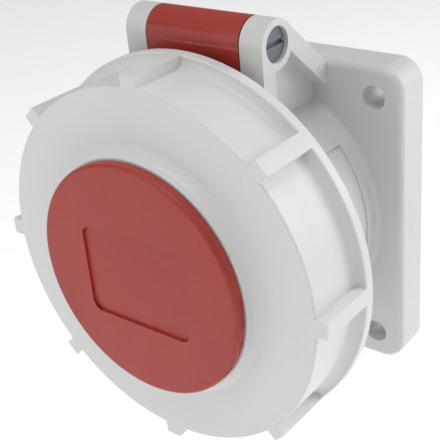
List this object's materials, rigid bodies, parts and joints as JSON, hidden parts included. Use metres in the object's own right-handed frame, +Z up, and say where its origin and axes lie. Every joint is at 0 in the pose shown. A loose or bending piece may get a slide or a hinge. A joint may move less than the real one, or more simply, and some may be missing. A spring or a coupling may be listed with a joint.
{
  "type": "industrial panel socket",
  "caption": "Panel-mount industrial power socket with a square flange, round collar, hinged red cap and a ribbed grey bayonet locking ring.",
  "frame": {"origin": "centre of the bolt pattern in the panel plane, which is the flange's rear face", "axes": "the socket looks along -Y, +Z is up towards the hinge and +X is right as seen from the front; the contacts' terminals reach behind the panel along +Y"},
  "size_m": [0.116, 0.0942, 0.1241],
  "materials": {
    "housing_plastic": "satin",
    "ring_plastic": "satin",
    "cap_plastic": "satin",
    "carrier_plastic": "satin",
    "rubber": "matte",
    "brass": "satin",
    "screw_steel": "satin",
    "spring_steel": "bright",
    "pin_plastic": "satin"
  },
  "bodies": {
    "socket": {"housing": "housing_plastic", "flange_gasket": "rubber", "contact_insert": "carrier_plastic", "insert_seal": "rubber", "insert_screws": "screw_steel", "contact_retainer": "carrier_plastic", "retainer_screws": "screw_steel", "contact_l1": "brass", "contact_l2": "brass", "contact_l3": "brass", "contact_n": "brass", "contact_pe": "brass", "grip_ring_l1": "spring_steel", "grip_ring_l2": "spring_steel", "grip_ring_l3": "spring_steel", "grip_ring_n": "spring_steel", "grip_ring_pe": "spring_steel", "clamp_screws_l1": "screw_steel", "clamp_screws_l2": "screw_steel", "clamp_screws_l3": "screw_steel", "clamp_screws_n": "screw_steel", "clamp_screws_pe": "screw_steel", "hinge_pin": "pin_plastic", "hinge_spring": "spring_steel"},
    "lid": {"cap": "cap_plastic", "cap_gasket": "rubber"},
    "ring": {"locking_ring": "ring_plastic"}
  },
  "joints": [
    {"name": "lid_hinge", "type": "hinge", "parent": "socket", "child": "lid", "pos_m": [0, -0.0349, 0.0592], "axis": [-1, 0, 0], "range_deg": [0, 150], "stiffness_Nm_per_rad": 0.05, "springref_deg": -51.57, "deforming": ["hinge_spring"]},
    {"name": "ring_turn", "type": "hinge", "parent": "lid", "child": "ring", "pos_m": [0, -0.066, 0], "axis": [0, 1, 0], "range_deg": [0, 45]}
  ]
}
